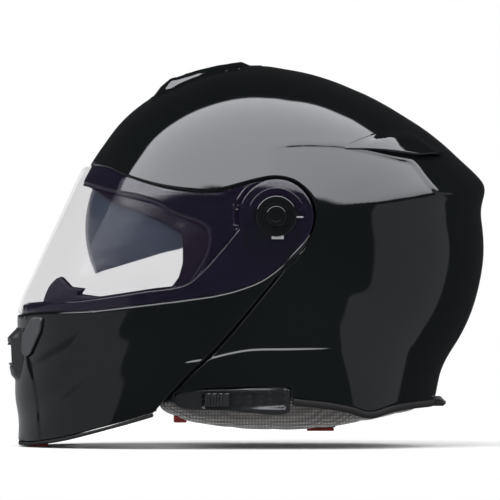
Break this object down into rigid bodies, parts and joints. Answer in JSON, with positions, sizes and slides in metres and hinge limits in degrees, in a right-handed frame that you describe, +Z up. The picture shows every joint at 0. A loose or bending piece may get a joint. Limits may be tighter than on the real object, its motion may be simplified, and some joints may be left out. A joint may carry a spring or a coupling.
{
  "type": "motorcycle helmet",
  "caption": "Flip-front motorcycle helmet with hinged chin bar, clear shield, drop-down sun visor on a side slider, sliding vents and ratchet-buckle chin strap.",
  "frame": {"origin": "under the middle of the bounding box, on the surface the helmet stands on", "axes": "+Z up, the face looks along -X, the wearer's left side is -Y"},
  "size_m": [0.3538, 0.262, 0.2845],
  "materials": {
    "gloss_black": "deep gloss black lacquer",
    "satin_black": "satin moulded plastic",
    "grey": "matte grained plastic",
    "rubber": "matte rubber",
    "foam": "matte bead foam",
    "fabric": "knitted mesh",
    "red_fabric": "woven ribbon",
    "red_plastic": "satin plastic",
    "webbing": "woven webbing",
    "steel": "brushed",
    "clear": "clear, faint violet tint",
    "smoke": "smoke grey"
  },
  "bodies": {
    "shell": {"outer_shell": "gloss_black", "eyeport_seal": "rubber", "neck_edge_trim": "rubber", "rear_tab": "satin_black", "impact_liner": "foam", "crown_liner": "fabric", "cheek_pad_l": "fabric", "cheek_pad_r": "fabric", "pull_tab_l": "red_fabric", "pull_tab_r": "red_fabric", "neck_roll": "fabric", "pivot_base_plate_l": "satin_black", "pivot_base_plate_r": "satin_black", "pivot_bolt_l": "satin_black", "pivot_bolt_r": "satin_black", "strike_pin_l": "steel", "strike_pin_r": "steel", "sun_visor_screw_l": "steel", "sun_visor_screw_r": "steel", "slider_track": "satin_black", "brow_vent_base": "gloss_black", "rear_vent_cover_l": "gloss_black", "rear_vent_cover_r": "gloss_black", "chin_strap_l": "webbing", "chin_strap_r": "webbing", "strap_anchor_l": "steel", "strap_anchor_r": "steel", "buckle_body": "steel", "buckle_tongue": "satin_black"},
    "chin_bar_body": {"chin_bar": "gloss_black", "chin_edge_trim": "rubber", "chin_impact_liner": "foam", "chin_vent_scoop": "satin_black", "chin_trim_plate_l": "grey", "chin_trim_plate_r": "grey", "breath_deflector": "rubber", "chin_curtain": "fabric", "shield_hub_l": "satin_black", "shield_hub_r": "satin_black", "latch_catch_l": "steel", "latch_catch_r": "steel"},
    "shield_body": {"shield": "clear"},
    "sun_visor_body": {"sun_visor": "smoke"},
    "slider_body": {"slider_knob": "satin_black"},
    "brow_vent_body": {"brow_vent_slider": "satin_black"},
    "chin_vent_body": {"chin_vent_flap": "satin_black"},
    "release_body": {"release_button": "red_plastic"},
    "lever_l_body": {"shield_release_lever_l": "satin_black"},
    "lever_r_body": {"shield_release_lever_r": "satin_black"},
    "buckle_lever_body": {"buckle_lever": "red_plastic"}
  },
  "joints": [
    {"name": "chin_bar_flip", "type": "hinge", "parent": "shell", "child": "chin_bar_body", "pos_m": [0.022, 0, 0.1695], "axis": [0, 1, 0], "range_deg": [0, 80]},
    {"name": "shield_flip", "type": "hinge", "parent": "chin_bar_body", "child": "shield_body", "pos_m": [0.022, 0, 0.1695], "axis": [0, 1, 0], "range_deg": [0, 48]},
    {"name": "sun_visor_drop", "type": "hinge", "parent": "shell", "child": "sun_visor_body", "pos_m": [-0.0377, 0, 0.1613], "axis": [0, 1, 0], "range_deg": [0, 42]},
    {"name": "sun_visor_slider", "type": "slide", "parent": "shell", "child": "slider_body", "axis": [1, 0, 0], "range_m": [0, 0.04]},
    {"name": "brow_vent_slide", "type": "slide", "parent": "shell", "child": "brow_vent_body", "axis": [0.9646, 0, 0.2637], "range_m": [0, 0.013]},
    {"name": "chin_vent_tilt", "type": "hinge", "parent": "chin_bar_body", "child": "chin_vent_body", "pos_m": [-0.1704, 0, 0.0743], "axis": [0, -1, 0], "range_deg": [0, 30]},
    {"name": "chin_release", "type": "slide", "parent": "chin_bar_body", "child": "release_body", "axis": [1, 0, 0], "range_m": [0, 0.006], "stiffness_N_per_m": 300},
    {"name": "shield_release_l", "type": "hinge", "parent": "chin_bar_body", "child": "lever_l_body", "pos_m": [0.022, 0, 0.1695], "axis": [0, 1, 0], "range_deg": [0, 20], "stiffness_Nm_per_rad": 0.05},
    {"name": "shield_release_r", "type": "hinge", "parent": "chin_bar_body", "child": "lever_r_body", "pos_m": [0.022, 0, 0.1695], "axis": [0, 1, 0], "range_deg": [0, 20], "stiffness_Nm_per_rad": 0.05},
    {"name": "buckle_release", "type": "hinge", "parent": "shell", "child": "buckle_lever_body", "pos_m": [0.055, -0.0135, 0.0125], "axis": [-1, 0, 0], "range_deg": [0, 35], "stiffness_Nm_per_rad": 0.05}
  ],
  "couplings": [
    {"joint": "sun_visor_slider", "follows": "sun_visor_drop", "m_per_rad": 0.0525}
  ]
}
